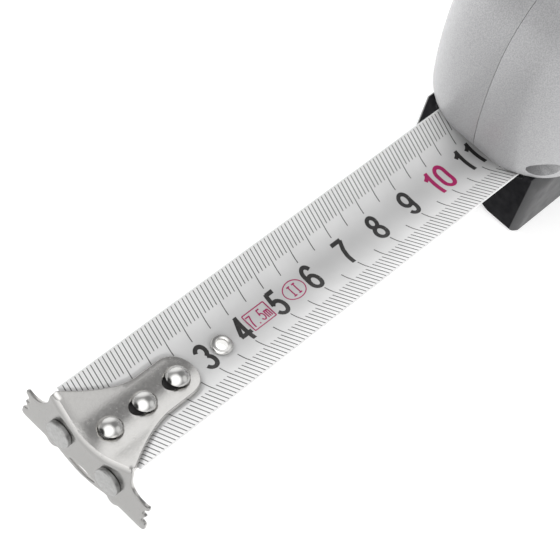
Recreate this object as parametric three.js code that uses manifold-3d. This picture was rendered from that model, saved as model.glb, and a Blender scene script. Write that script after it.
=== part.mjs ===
// Pocket tape measure, 7.5 m x 25 mm, standing on its base with 110 mm of blade pulled out.
// Millimetres, +Z up. The origin is the centre of the base face. The blade leaves along -X.
import * as THREE from 'three';
import { mergeVertices } from 'three/addons/utils/BufferGeometryUtils.js';
import Module from 'manifold-3d';

const wasm = await Module();
wasm.setup();

const GAP = 0.3;

// Case shells: a side profile of tangent arcs, rounded over to two flat sides.
const CASE_HALF_WIDTH = 19.5;
const CASE_EDGE_RADIUS = 14;
const CASE_WALL = 2.2;
const CASE_BOTTOM = 9;
const NOSE_X = -40;
const NOSE_Z = 46;
const NOSE_RADIUS = 95;
const BROW_RADIUS = 28;
const REAR_X = 40;
const REAR_Z = 44;
const REAR_RADIUS = 90;
const SHOULDER_RADIUS = 30;
const HEEL_RADIUS = 15;
const HEEL_ANGLE = 0.27;
const SHELL_FRONT_HEM = 17.7;
const SHELL_REAR_HEM = 14;
const HEM_STEP = [-22, -12];

// Blade: a steel strip with an arc along its middle and straight flanks, concave side up.
const BLADE_HALF = 12.5;
const BLADE_THICK = 0.3;
const BLADE_ARC_HALF = 6.4;
const BLADE_ARC_RADIUS = 11.2;
const BLADE_Z = 11.3;
const BEND_X = -144.4;
const BLADE_SETBACK = 0.9;
const BLADE_INNER_X = -29;
const FLATTEN_X = -15;

// Coil, drum and power spring, on the axle.
const AXLE = { x: 4, z: 38.7 };
const COIL_OUTER = 26.5;
const DRUM_OUTER = 14.7;
const DRUM_WALL = 1.2;
const DRUM_HALF = 12.8;
const AXLE_RADIUS = 4;
const SPRING = { inner: 5.4, outer: 12.8, turns: 5, thick: 0.7, half: 11.2 };

// Mouth lip: the front hem of the shells dips to follow the blade.
const LIP = { flat: 5, half: 11.5, drop: 2, depth: 5 };

// Base bumper.
const BASE = {
  frontX: -33.2, rearX: 36.5, half: 15.7, wall: 2.2, floor: 3.2, frontCorner: 2.4, rearCorner: 9,
};
const SHOULDER = { half: 14.2, z: 14.4 };
const BLADE_CLEAR = 1;
const MOUTH_HALF = 12.2;
const RIVET_GROOVE = { half: 3, depth: 1.4 };

// Hook.
const PLATE = {
  length: 26.4, tongue: 5.4, flare: 7.2, flareLength: 15, low: 0.6, thick: 0.9, tipRadius: 5.4,
};
const FLANGE = {
  thick: 0.9, neck: 10.9, wing: 16.4, wingTop: -0.4, bottom: -8.1, sag: 1.3, tooth: 1.2, slotHalf: 3.6,
};
const RIVET = { radius: 2.45, shank: 1.2, first: 4.6, pitch: 8.7 };
const MAGNET = { radius: 2.9, thick: 0.8, y: 6.5, z: -2.7 };
const EYELET = { s: 34.2, outer: 2.3, hole: 1.3, neck: 1.6 };

// Thumb lock on the brow, turning about the centre of the brow's arc.
const LOCK = {
  from: 108, to: 138, stemTo: 128, inner: 20.5, outer: 31, cap: 28.4, half: 8, stemHalf: 3.5, swing: 10,
};

// Forked brake between the nose and the coil.
const BRAKE = {
  x: -27.2, depth: 2.7, half: 5, top: 52, footX: -19, footTop: 24, lift: 3.2, padIn: 7.2, padOut: 10.8,
};

// Screws: nose, brow, shoulder and heel.
const SCREWS = [[-32.2, 21.7], [-10, 68.6], [28, 60.5], [31, 17.5]];
const SCREW = { boss: 4, head: 2.3, headHeight: 1.6, shank: 1.3, seat: -10, tip: 8 };

// Belt clip.
const CLIP = { half: 9, thick: 1, top: 60, bottom: 11, standOff: 5.2, screwZ: 53.5 };
const INLAY = { radius: 15, x: 0, z: 44, depth: 0.9, proud: 0.3 };

const MATERIALS = {
  silver: { color: 0xb9babb, roughness: 0.38, metalness: 0.6 },
  black: { color: 0x1a1a1b, roughness: 0.6, metalness: 0 },
  rubber: { color: 0x222223, roughness: 0.85, metalness: 0 },
  steel: { color: 0xc8c9ca, roughness: 0.25, metalness: 1 },
  springSteel: { color: 0x6d737a, roughness: 0.35, metalness: 1 },
  blade: { color: 0xdedfdf, roughness: 0.45, metalness: 0.1 },
  nylon: { color: 0xe8e6df, roughness: 0.5, metalness: 0 },
};

// ---- solids ----------------------------------------------------------------

function toSolid(geometry) {
  const bare = geometry.clone();
  bare.deleteAttribute('normal');
  bare.deleteAttribute('uv');
  const merged = mergeVertices(bare, 1e-4);
  const vertProperties = new Float32Array(merged.attributes.position.array);
  const triVerts = new Uint32Array(merged.index.array);
  return new wasm.Manifold(new wasm.Mesh({ numProp: 3, vertProperties, triVerts }));
}

function toGeometry(solid) {
  const mesh = solid.getMesh();
  const geometry = new THREE.BufferGeometry();
  geometry.setAttribute('position', new THREE.BufferAttribute(new Float32Array(mesh.vertProperties), 3));
  geometry.setIndex(new THREE.BufferAttribute(new Uint32Array(mesh.triVerts), 1));
  geometry.computeVertexNormals();
  return geometry;
}

// A closed loft through loops of equal length, with flat end caps.
function loft(loops) {
  const count = loops[0].length;
  const positions = loops.flat().flatMap((p) => [p.x, p.y, p.z]);
  const index = [];
  for (let ring = 0; ring < loops.length - 1; ring += 1) {
    for (let i = 0; i < count; i += 1) {
      const a = ring * count + i;
      const b = ring * count + ((i + 1) % count);
      index.push(a, b, b + count, a, b + count, a + count);
    }
  }
  const flat = capPlane(loops[0]);
  const clockwise = THREE.ShapeUtils.isClockWise(flat);
  const cap = THREE.ShapeUtils.triangulateShape(clockwise ? flat.slice().reverse() : flat, [])
    .map((face) => (clockwise ? face.map((i) => count - 1 - i).reverse() : face));
  const last = (loops.length - 1) * count;
  for (const [a, b, c] of cap) {
    index.push(a, c, b, last + a, last + b, last + c);
  }
  const geometry = new THREE.BufferGeometry();
  geometry.setAttribute('position', new THREE.Float32BufferAttribute(positions, 3));
  geometry.setIndex(index);
  const solid = toSolid(geometry);
  return solid.volume() < 0 ? toSolid(flipped(geometry)) : solid;
}

function flipped(geometry) {
  const order = Array.from(geometry.index.array);
  for (let i = 0; i < order.length; i += 3) {
    [order[i + 1], order[i + 2]] = [order[i + 2], order[i + 1]];
  }
  const turned = geometry.clone();
  turned.setIndex(order);
  return turned;
}

// Two coordinates for a flat loop: the two that vary most.
function capPlane(loop) {
  const box = new THREE.Box3().setFromPoints(loop);
  const size = box.getSize(new THREE.Vector3());
  const axes = ['x', 'y', 'z'].sort((a, b) => size[b] - size[a]).slice(0, 2);
  return loop.map((p) => new THREE.Vector2(p[axes[0]], p[axes[1]]));
}

function box(x0, x1, y0, y1, z0, z1) {
  const geometry = new THREE.BoxGeometry(x1 - x0, y1 - y0, z1 - z0);
  geometry.translate((x0 + x1) / 2, (y0 + y1) / 2, (z0 + z1) / 2);
  return toSolid(geometry);
}

function shapeFrom(points) {
  return new THREE.Shape(points.map(([u, v]) => new THREE.Vector2(u, v)));
}

// A shape drawn in X and Z, extruded along Y from y0 to y1.
function prismY(points, y0, y1) {
  const geometry = new THREE.ExtrudeGeometry(shapeFrom(points), { depth: y1 - y0, bevelEnabled: false });
  const basis = new THREE.Matrix4().makeBasis(
    new THREE.Vector3(1, 0, 0), new THREE.Vector3(0, 0, 1), new THREE.Vector3(0, -1, 0));
  geometry.applyMatrix4(basis);
  geometry.translate(0, y1, 0);
  return toSolid(geometry);
}

// A shape drawn in Y and Z, extruded along X from x0 to x1.
function prismX(points, x0, x1) {
  const geometry = new THREE.ExtrudeGeometry(shapeFrom(points), { depth: x1 - x0, bevelEnabled: false });
  const basis = new THREE.Matrix4().makeBasis(
    new THREE.Vector3(0, 1, 0), new THREE.Vector3(0, 0, 1), new THREE.Vector3(1, 0, 0));
  geometry.applyMatrix4(basis);
  geometry.translate(x0, 0, 0);
  return toSolid(geometry);
}

// A shape drawn in X and Y, extruded up from z0 to z1.
function prismZ(points, z0, z1) {
  const geometry = new THREE.ExtrudeGeometry(shapeFrom(points), { depth: z1 - z0, bevelEnabled: false });
  geometry.translate(0, 0, z0);
  return toSolid(geometry);
}

// A turned piece: radius and height pairs about an axis along +Z or +Y, standing at a point.
function turned(profile, at, along = 'z', segments = 24) {
  const points = profile.map(([r, h]) => new THREE.Vector2(r, h));
  if (profile[0][0] > 0) {
    points.push(points[0].clone());
  }
  const geometry = new THREE.LatheGeometry(points, segments);
  if (along === 'z') {
    geometry.rotateX(Math.PI / 2);
  }
  geometry.translate(at.x, at.y, at.z);
  const solid = toSolid(geometry);
  return solid.volume() < 0 ? toSolid(flipped(toGeometry(solid))) : solid;
}

function cylinderY(x, z, radius, y0, y1, segments = 20) {
  return turned([[0, y0], [radius, y0], [radius, y1], [0, y1]], { x, y: 0, z }, 'y', segments);
}

function arc(cx, cy, radius, from, to, steps) {
  const points = [];
  for (let i = 0; i <= steps; i += 1) {
    const a = THREE.MathUtils.degToRad(from + ((to - from) * i) / steps);
    points.push([cx + radius * Math.cos(a), cy + radius * Math.sin(a)]);
  }
  return points;
}

// ---- case shells -----------------------------------------------------------

// The side profile of the whole case as points with their outward directions.
function caseProfile() {
  const points = [];
  const add = (cx, cz, radius, from, to, steps) => {
    for (let i = 0; i <= steps; i += 1) {
      const a = THREE.MathUtils.degToRad(from + ((to - from) * i) / steps);
      const n = new THREE.Vector2(Math.cos(a), Math.sin(a));
      const last = points.at(-1);
      const p = new THREE.Vector2(cx + radius * n.x, cz + radius * n.y);
      if (!last || last.p.distanceTo(p) > 0.01) {
        points.push({ p, n });
      }
    }
  };
  const toe = Math.asin((NOSE_Z - CASE_BOTTOM - HEEL_RADIUS) / (NOSE_RADIUS - HEEL_RADIUS));
  const toeDegrees = THREE.MathUtils.radToDeg(toe);
  const toeX = NOSE_X + NOSE_RADIUS - (NOSE_RADIUS - HEEL_RADIUS) * Math.cos(toe);
  const heelDegrees = THREE.MathUtils.radToDeg(HEEL_ANGLE);
  const heelX = REAR_X - REAR_RADIUS + (REAR_RADIUS - HEEL_RADIUS) * Math.cos(HEEL_ANGLE);
  const heelZ = REAR_Z - (REAR_RADIUS - HEEL_RADIUS) * Math.sin(HEEL_ANGLE);
  add(NOSE_X + BROW_RADIUS, NOSE_Z, BROW_RADIUS, 180, 90, 8);
  add(REAR_X - SHOULDER_RADIUS, REAR_Z, SHOULDER_RADIUS, 90, 0, 8);
  add(REAR_X - REAR_RADIUS, REAR_Z, REAR_RADIUS, 0, -heelDegrees, 2);
  add(heelX, heelZ, HEEL_RADIUS, -heelDegrees, -90, 4);
  add(toeX, CASE_BOTTOM + HEEL_RADIUS, HEEL_RADIUS, -90, toeDegrees - 180, 4);
  add(NOSE_X + NOSE_RADIUS, NOSE_Z, NOSE_RADIUS, 180 + toeDegrees, 180, 4);
  if (points[0].p.distanceTo(points.at(-1).p) < 0.01) {
    points.pop();
  }
  return points;
}

// One half of the rounded case body, inset by a wall thickness, from a y plane out to its side.
function caseBody(side, inset, innerY) {
  const outline = caseProfile();
  const radius = CASE_EDGE_RADIUS - inset;
  const flatY = CASE_HALF_WIDTH - CASE_EDGE_RADIUS;
  const levels = [[innerY, inset]];
  const steps = 6;
  for (let i = 0; i <= steps; i += 1) {
    const a = (i / steps) * (Math.PI / 2);
    levels.push([flatY + radius * Math.sin(a), CASE_EDGE_RADIUS - radius * Math.cos(a)]);
  }
  const loops = levels.map(([y, deep]) => outline.map(({ p, n }) => (
    new THREE.Vector3(p.x - n.x * deep, side * y, p.y - n.y * deep))));
  return loft(loops);
}

// Everything under the hem of the shells: high at the front, lower at the back.
function underHem(lower) {
  const front = SHELL_FRONT_HEM - lower;
  const rear = SHELL_REAR_HEM - lower;
  const [stepFront, stepRear] = HEM_STEP;
  const outline = [[-60, -10], [60, -10], [60, rear], [stepRear, rear], [stepFront, front], [-60, front]];
  return prismY(outline, -30, 30);
}

// The lip that stays on the shells over the mouth.
function lipKeep() {
  const ease = 6;
  const points = [[-LIP.half, SHELL_FRONT_HEM + 1]];
  for (let i = 0; i <= ease; i += 1) {
    const t = i / ease;
    const blend = (1 - Math.cos(Math.PI * t)) / 2;
    points.push([-LIP.half + (LIP.half - LIP.flat) * t, SHELL_FRONT_HEM - LIP.drop * blend]);
  }
  const mirrored = points.map(([y, z]) => [-y, z]).reverse();
  return prismX([...points, ...mirrored], -60, NOSE_X + LIP.depth + CASE_WALL);
}

function shell(side) {
  const inside = caseBody(side, CASE_WALL, -1);
  let body = caseBody(side, 0, GAP / 2).subtract(inside);
  const skin = caseBody(side, 0, GAP / 2);
  for (const [x, z] of SCREWS) {
    const wallY = side > 0 ? [GAP / 2, CASE_HALF_WIDTH] : [-CASE_HALF_WIDTH, -GAP / 2];
    body = body.add(cylinderY(x, z, SCREW.boss, ...wallY).intersect(skin));
  }
  const axleBoss = side > 0 ? [15.6, 18] : [-18, -15.6];
  body = body.add(cylinderY(AXLE.x, AXLE.z, AXLE_RADIUS + 3, ...axleBoss));
  body = body.subtract(cylinderY(AXLE.x, AXLE.z, AXLE_RADIUS + GAP, -17, 17));
  for (const [x, z] of SCREWS) {
    body = body.subtract(cylinderY(x, z, SCREW.shank + GAP, -30, SCREW.tip + 1));
    body = body.subtract(cylinderY(x, z, SCREW.head + GAP, -30, SCREW.seat));
  }
  body = body.subtract(underHem(0).subtract(lipKeep()));
  body = body.subtract(lockSweep());
  return body;
}

// The slot in the brow that the thumb lock's stem runs in.
function lockSweep() {
  const centre = { x: NOSE_X + BROW_RADIUS, z: NOSE_Z };
  const from = LOCK.from - 3;
  const to = LOCK.stemTo + LOCK.swing + 3;
  const outside = arc(centre.x, centre.z, 40, from, to, 8);
  const inside = arc(centre.x, centre.z, LOCK.inner - 1, to, from, 8);
  const half = LOCK.stemHalf + 0.6;
  return prismY([...outside, ...inside], -half, half);
}

// ---- base, guide and screws ------------------------------------------------

function basePlan(inset) {
  const half = BASE.half - inset;
  const front = BASE.frontX + inset;
  const rear = BASE.rearX - inset;
  const rf = Math.max(BASE.frontCorner - inset, 0.4);
  const rr = BASE.rearCorner - inset;
  return [
    ...arc(front + rf, -half + rf, rf, 180, 270, 3),
    ...arc(rear - rr, -half + rr, rr, 270, 360, 5),
    ...arc(rear - rr, half - rr, rr, 0, 90, 5),
    ...arc(front + rf, half - rf, rf, 90, 180, 3),
  ];
}

// Height of the blade's underside above its centre line, at a distance from the middle.
function bladeRise(y) {
  const edge = BLADE_ARC_HALF / BLADE_ARC_RADIUS;
  const edgeY = BLADE_ARC_RADIUS * Math.sin(edge);
  const reach = Math.min(Math.abs(y), edgeY);
  const arcRise = BLADE_ARC_RADIUS - Math.sqrt(BLADE_ARC_RADIUS ** 2 - reach ** 2);
  return arcRise + Math.max(Math.abs(y) - edgeY, 0) * Math.tan(edge);
}

// Outline above a line that follows the blade's underside, lowered by a clearance.
function aboveBlade(half, clearance, top) {
  const points = [];
  const steps = 12;
  for (let i = 0; i <= steps; i += 1) {
    const y = -half + (2 * half * i) / steps;
    points.push([y, BLADE_Z + bladeRise(y) - clearance]);
  }
  return [...points, [half, top], [-half, top]];
}

// The groove under the middle of the blade that the rivets' tails run in.
function rivetGroove() {
  const { half, depth } = RIVET_GROOVE;
  return box(-40, -10, -half, half, BLADE_Z - depth, 31);
}

// The ears' outer top edges are chamfered.
function baseSection() {
  const top = SHELL_FRONT_HEM;
  return prismX([[-BASE.half, 0], [BASE.half, 0], [BASE.half, SHOULDER.z], [SHOULDER.half, top],
    [-SHOULDER.half, top], [-BASE.half, SHOULDER.z]], -40, 40);
}

function baseBumper() {
  const outside = prismZ(basePlan(0), 0, 30).intersect(underHem(GAP)).intersect(baseSection());
  const inside = prismZ(basePlan(BASE.wall), BASE.floor, 31);
  const mouth = prismX(aboveBlade(MOUTH_HALF, BLADE_CLEAR, 31), -40, -25);
  const relief = prismX([[-9.5, -1], [9.5, -1], [9.5, 0], [6, 1.8], [-6, 1.8], [-9.5, 0]], -40, -29);
  return outside.subtract(inside).subtract(mouth).subtract(rivetGroove()).subtract(relief);
}

function bladeGuide() {
  const half = BASE.half - BASE.wall - GAP;
  const block = box(BASE.frontX + BASE.wall + GAP, -18, -half, half, BASE.floor + GAP, SHELL_REAR_HEM - GAP);
  const above = prismX(aboveBlade(half + 1, 0.7, 31), -40, -10);
  const hollow = box(BASE.frontX + 5, -20, -half + 2, half - 2, BASE.floor - 1, 8);
  return block.subtract(above).subtract(rivetGroove()).subtract(hollow);
}

function caseScrew([x, z]) {
  const top = SCREW.seat - GAP;
  const face = top - SCREW.headHeight;
  const recess = box(x - 0.35, x + 0.35, face - 1, face + 0.8, z - 1.5, z + 1.5);
  const cross = box(x - 1.5, x + 1.5, face - 1, face + 0.8, z - 0.35, z + 0.35);
  const head = cylinderY(x, z, SCREW.head, face, top, 16);
  const shank = cylinderY(x, z, SCREW.shank, top - 0.1, SCREW.tip, 12);
  return head.add(shank).subtract(recess).subtract(cross);
}

// ---- blade -----------------------------------------------------------------

// A point of the blade's section: along = distance across the strip, bend = 1 free, 0 flat.
function bladeSection(along, lift, bend) {
  const inArc = Math.min(Math.abs(along), BLADE_ARC_HALF);
  const flank = Math.abs(along) - inArc;
  const angle = (bend * inArc) / BLADE_ARC_RADIUS;
  const arcY = angle > 1e-6 ? (inArc * Math.sin(angle)) / angle : inArc;
  const arcZ = angle > 1e-6 ? (inArc * (1 - Math.cos(angle))) / angle : 0;
  const side = Math.sign(along);
  const y = side * (arcY + flank * Math.cos(angle) - lift * Math.sin(angle));
  const z = arcZ + flank * Math.sin(angle) + lift * Math.cos(angle);
  return { y, z };
}

// A cross loop of a strip of a half width, between two heights over the blade's underside.
function stripLoop(x, half, low, high, bend, steps) {
  const loop = [];
  for (let i = 0; i <= steps; i += 1) {
    const { y, z } = bladeSection(-half + (2 * half * i) / steps, low, bend);
    loop.push(new THREE.Vector3(x, y, BLADE_Z + z));
  }
  for (let i = steps; i >= 0; i -= 1) {
    const { y, z } = bladeSection(-half + (2 * half * i) / steps, high, bend);
    loop.push(new THREE.Vector3(x, y, BLADE_Z + z));
  }
  return loop;
}

function exposedBlade() {
  const ends = [BEND_X + BLADE_SETBACK, BLADE_INNER_X];
  let strip = loft(ends.map((x) => stripLoop(x, BLADE_HALF, 0, BLADE_THICK, 1, 14)));
  for (let i = 0; i < 3; i += 1) {
    strip = strip.subtract(drillZ(BEND_X + RIVET.first + RIVET.pitch * i, RIVET.shank + GAP));
  }
  return strip.subtract(drillZ(BEND_X + EYELET.s, EYELET.neck + GAP));
}

function drillZ(x, radius) {
  return turned([[0, -2], [radius, -2], [radius, 6], [0, 6]], { x, y: 0, z: BLADE_Z }, 'z', 16);
}

// The stretch inside the case, where the strip flattens before it reaches the coil.
function bladeThroat() {
  const stations = [[BLADE_INNER_X + GAP, 1], [FLATTEN_X, 1], [-8, 0.5], [-3, 0.12], [AXLE.x, 0]];
  return loft(stations.map(([x, bend]) => stripLoop(x, BLADE_HALF, 0, BLADE_THICK, bend, 14)));
}

function bladeCoil() {
  const ring = [[DRUM_OUTER + GAP, -BLADE_HALF], [COIL_OUTER, -BLADE_HALF], [COIL_OUTER, BLADE_HALF],
    [DRUM_OUTER + GAP, BLADE_HALF]];
  return turned(ring, { x: AXLE.x, y: 0, z: AXLE.z }, 'y', 48);
}

function eyelet() {
  const { outer, hole, neck } = EYELET;
  const ring = [[hole, -0.7], [outer, -0.7], [outer, -GAP], [neck, -GAP], [neck, 0.85],
    [outer, 0.85], [outer, 1.2], [hole, 1.2]];
  return turned(ring, { x: BEND_X + EYELET.s, y: 0, z: BLADE_Z }, 'z', 24);
}

// ---- drum, spring and axle -------------------------------------------------

function drum() {
  const inner = DRUM_OUTER - DRUM_WALL;
  const eye = AXLE_RADIUS + GAP;
  const cup = [[eye, -DRUM_HALF], [DRUM_OUTER, -DRUM_HALF], [DRUM_OUTER, DRUM_HALF], [inner, DRUM_HALF],
    [inner, 1 - DRUM_HALF], [eye, 1 - DRUM_HALF]];
  return turned(cup, { x: AXLE.x, y: 0, z: AXLE.z }, 'y', 40);
}

function springCover() {
  const disc = [[AXLE_RADIUS + GAP, DRUM_HALF - 1], [DRUM_OUTER - DRUM_WALL - GAP, DRUM_HALF - 1],
    [DRUM_OUTER - DRUM_WALL - GAP, DRUM_HALF], [AXLE_RADIUS + GAP, DRUM_HALF]];
  return turned(disc, { x: AXLE.x, y: 0, z: AXLE.z }, 'y', 32);
}

function powerSpring() {
  const steps = SPRING.turns * 16;
  const edge = (offset) => Array.from({ length: steps + 1 }, (_, i) => {
    const a = (i / steps) * SPRING.turns * Math.PI * 2;
    const r = SPRING.inner + ((SPRING.outer - SPRING.inner) * i) / steps + offset;
    return [AXLE.x + r * Math.cos(a), AXLE.z + r * Math.sin(a)];
  });
  return prismY([...edge(0), ...edge(-SPRING.thick).reverse()], -SPRING.half, SPRING.half);
}

function axlePost() {
  const post = cylinderY(AXLE.x, AXLE.z, AXLE_RADIUS, -16.6, 16.6, 24);
  const slot = box(AXLE.x - 0.6, AXLE.x + 0.6, -SPRING.half, 20, AXLE.z, AXLE.z + 6);
  return post.subtract(slot);
}

// ---- hook ------------------------------------------------------------------

// Half width of the plate at a distance from the bend: flared, then straight, then a round tip.
function plateHalf(s) {
  const flare = Math.max(1 - s / PLATE.flareLength, 0) ** 1.5;
  const body = PLATE.tongue + PLATE.flare * flare;
  const past = s - (PLATE.length - PLATE.tipRadius);
  if (past <= 0) {
    return body;
  }
  return Math.max(Math.sqrt(Math.max(PLATE.tipRadius ** 2 - past ** 2, 0)), 0.6);
}

function hookPlate() {
  const stations = [-0.6, 1.5, 3, 5, 7.5, 10, 13, 17, 21, 23, 24.5, 25.6, 26.3];
  const high = PLATE.low + PLATE.thick;
  const across = (s) => stripLoop(BEND_X + s, plateHalf(Math.max(s, 0)), PLATE.low, high, 1, 10);
  let plate = loft(stations.map(across));
  for (let i = 0; i < 3; i += 1) {
    const x = BEND_X + RIVET.first + RIVET.pitch * i;
    const reach = i === 0 ? 0.5 : 1.5;
    plate = plate.subtract(drillZ(x, 1.9)).subtract(drillZ(x - reach, 1.9));
    plate = plate.subtract(box(x - reach, x, -1.9, 1.9, BLADE_Z - 1, BLADE_Z + 5));
  }
  return plate;
}

// Outline of one side of the flange, from the middle of the bend out and down to the bottom edge.
function flangeSide() {
  const rim = [];
  for (let i = 0; i <= 6; i += 1) {
    const { y, z } = bladeSection((BLADE_HALF * i) / 6, PLATE.low + PLATE.thick, 1);
    rim.push([y, z]);
  }
  const { neck, wing, wingTop, bottom, sag, tooth } = FLANGE;
  const shoulder = [[neck, 5], [neck + 0.1, 4]];
  const sweep = arc(neck + 3.6, wingTop + 3.4, 3.5, 180, 262, 5);
  const teeth = [[wing - 0.2, wingTop + 0.3], [wing, wingTop - 0.7], [wing - tooth, wingTop - 3],
    [wing, wingTop - 3.1], [wing, wingTop - 3.5], [wing - tooth, wingTop - 5.4], [wing, wingTop - 5.5],
    [wing + 0.1, bottom + 0.6], [wing - 0.6, bottom]];
  const bump = arc(8.1, bottom + 0.75, 1.6, -28, -152, 4);
  const belly = [[3.6, bottom - sag * 0.6], [1.8, bottom - sag * 0.9], [0, bottom - sag]];
  return [...rim, ...shoulder, ...sweep, ...teeth, ...bump, ...belly];
}

function hookFlange() {
  const right = flangeSide().map(([y, z]) => [y, z + BLADE_Z]);
  const left = right.slice(1, -1).map(([y, z]) => [-y, z]).reverse();
  const outerX = BEND_X - 0.2 - FLANGE.thick;
  const sheet = prismX([...right, ...left], outerX, outerX + FLANGE.thick);
  const z = BLADE_Z + FLANGE.bottom;
  const { slotHalf } = FLANGE;
  const slot = prismX([[-slotHalf, z + 0.2], [-slotHalf / 2, z - 0.4], [slotHalf / 2, z - 0.4],
    [slotHalf, z + 0.2], [slotHalf / 2, z + 0.9], [-slotHalf / 2, z + 0.9]], outerX - 1, outerX + 3);
  return sheet.subtract(slot);
}

function rivet(index) {
  const { radius, shank } = RIVET;
  const dome = [[0, -0.85], [2.1, -0.85], [2.1, -GAP], [shank, -GAP], [shank, 2.1], [radius, 2.1],
    [radius, 2.3], [radius * 0.78, 2.75], [radius * 0.42, 3.05], [0, 3.15]];
  return turned(dome, { x: BEND_X + RIVET.first + RIVET.pitch * index, y: 0, z: BLADE_Z }, 'z', 20);
}

function magnet(side) {
  const faceX = BEND_X - 0.2 - FLANGE.thick - GAP;
  const points = arc(side * MAGNET.y, BLADE_Z + MAGNET.z, MAGNET.radius, 0, 345, 23);
  return prismX(points, faceX - MAGNET.thick, faceX);
}

// ---- lock and brake --------------------------------------------------------

function lockButton() {
  const centre = { x: NOSE_X + BROW_RADIUS, z: NOSE_Z };
  const { from, to, stemTo, inner, outer, cap, half, stemHalf } = LOCK;
  const top = arc(centre.x, centre.z, outer, from + 3, to - 6, 8);
  const horn = arc(centre.x, centre.z, outer + 1.2, to - 2.5, to - 1, 1);
  const under = arc(centre.x, centre.z, cap, to, from, 8);
  const pad = prismY([...top, ...horn, ...under], -half, half);
  const stemTop = arc(centre.x, centre.z, cap + 0.4, from + 1, stemTo, 5);
  const stemLow = arc(centre.x, centre.z, inner, stemTo, from + 1, 5);
  return pad.add(prismY([...stemTop, ...stemLow], -stemHalf, stemHalf));
}

function lockSpring() {
  const centre = { x: NOSE_X + BROW_RADIUS, z: NOSE_Z };
  const outside = arc(centre.x, centre.z, 18.2, 112, 138, 6);
  const inside = arc(centre.x, centre.z, 17.6, 138, 112, 6);
  return prismY([...outside, ...inside], -3, 3);
}

function brakeArm() {
  const { x, depth, half, top, footX, footTop, padOut } = BRAKE;
  const bar = box(x, x + depth, -half, half, footTop, top);
  const yoke = box(x, x + depth, -padOut, padOut, footTop - 1.5, footTop + 2.5);
  let arm = bar.add(yoke);
  for (const side of [-1, 1]) {
    const y = [side * (padOut - 3.6), side * padOut].sort((a, b) => a - b);
    arm = arm.add(box(x + 0.5, footX, y[0], y[1], footTop - 1.5, footTop + 0.8));
  }
  return arm;
}

function brakePad(side) {
  const { footX, footTop, lift, padIn, padOut } = BRAKE;
  const high = footTop - 1.5 - GAP;
  const skin = BLADE_THICK / Math.cos(BLADE_ARC_HALF / BLADE_ARC_RADIUS);
  const foot = (y) => BLADE_Z + bladeRise(y) + skin + lift;
  const outline = [[padIn, foot(padIn)], [padOut, foot(padOut)], [padOut, high], [padIn, high]];
  return prismX(outline.map(([y, z]) => [side * y, z]), footX - 5, footX);
}

// ---- belt clip and side inlay ----------------------------------------------

function beltClip() {
  const { half, thick, top, bottom, standOff, screwZ } = CLIP;
  const y0 = CASE_HALF_WIDTH + GAP;
  const y1 = CASE_HALF_WIDTH + standOff;
  const inner = [[y0, top], [y0, 48], [y1, 43], [y1, 24], [y0 + 0.6, 15], [y1 - 1, bottom]];
  const outer = [[y1 - 1 + thick * 0.8, bottom - 0.5], [y0 + 0.6 + thick, 15], [y1 + thick, 23.6],
    [y1 + thick, 43.4], [y0 + thick, 48.4], [y0 + thick, top]];
  const strap = prismX([...inner, ...outer], -half, half);
  return strap.subtract(cylinderY(0, screwZ, 1.9, 15, 30, 16));
}

function clipScrew() {
  const y = CASE_HALF_WIDTH + GAP + CLIP.thick + GAP;
  return cylinderY(0, CLIP.screwZ, 3, y, y + 1.2, 20).add(cylinderY(0, CLIP.screwZ, 1.5, 15.5, y + 0.1, 12));
}

function inlayPocket() {
  const y = -CASE_HALF_WIDTH;
  return cylinderY(INLAY.x, INLAY.z, INLAY.radius + GAP, y - 1, y + INLAY.depth + GAP, 40);
}

function sideInlay() {
  const y = -CASE_HALF_WIDTH;
  return cylinderY(INLAY.x, INLAY.z, INLAY.radius, y - INLAY.proud, y + INLAY.depth, 40);
}

// ---- assembly --------------------------------------------------------------

const tape = new THREE.Group();

function piece(name, solid, material) {
  const mesh = new THREE.Mesh(toGeometry(solid), new THREE.MeshStandardMaterial(MATERIALS[material]));
  mesh.name = name;
  tape.add(mesh);
}

const clipHole = cylinderY(0, CLIP.screwZ, 1.8, 10, 30, 16);
piece('case_left', shell(1).subtract(clipHole), 'silver');
piece('case_right', shell(-1).subtract(inlayPocket()), 'silver');
piece('base_bumper', baseBumper(), 'black');
piece('blade_guide', bladeGuide(), 'nylon');
SCREWS.forEach((place, i) => piece(`case_screw_${i + 1}`, caseScrew(place), 'steel'));
piece('side_inlay', sideInlay(), 'rubber');
piece('belt_clip', beltClip(), 'steel');
piece('clip_screw', clipScrew(), 'steel');
piece('axle_post', axlePost(), 'steel');
piece('power_spring', powerSpring(), 'springSteel');
piece('drum', drum(), 'nylon');
piece('spring_cover', springCover(), 'nylon');
piece('blade_coil', bladeCoil(), 'blade');
piece('blade_throat', bladeThroat(), 'blade');
piece('blade', exposedBlade(), 'blade');
piece('eyelet', eyelet(), 'steel');
piece('hook', hookPlate().add(hookFlange()), 'steel');
for (let i = 0; i < 3; i += 1) {
  piece(`hook_rivet_${i + 1}`, rivet(i), 'steel');
}
piece('magnet_left', magnet(1), 'steel');
piece('magnet_right', magnet(-1), 'steel');
piece('lock_button', lockButton(), 'rubber');
piece('lock_spring', lockSpring(), 'springSteel');
piece('brake_arm', brakeArm(), 'black');
piece('brake_pad_left', brakePad(1), 'rubber');
piece('brake_pad_right', brakePad(-1), 'rubber');

export default tape;
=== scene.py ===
"""Looks of a pocket tape measure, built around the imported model.

Lengths are in millimetres until a mesh is made. +Z is up, the blade runs out along -X, and the
hook's bend and the blade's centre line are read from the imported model.
"""
from math import asin, ceil, copysign, cos, dist, exp, pi, radians, sin, sqrt, tan

import bmesh
import bpy
from mathutils import Matrix, Vector
from mathutils.geometry import delaunay_2d_cdt


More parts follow.
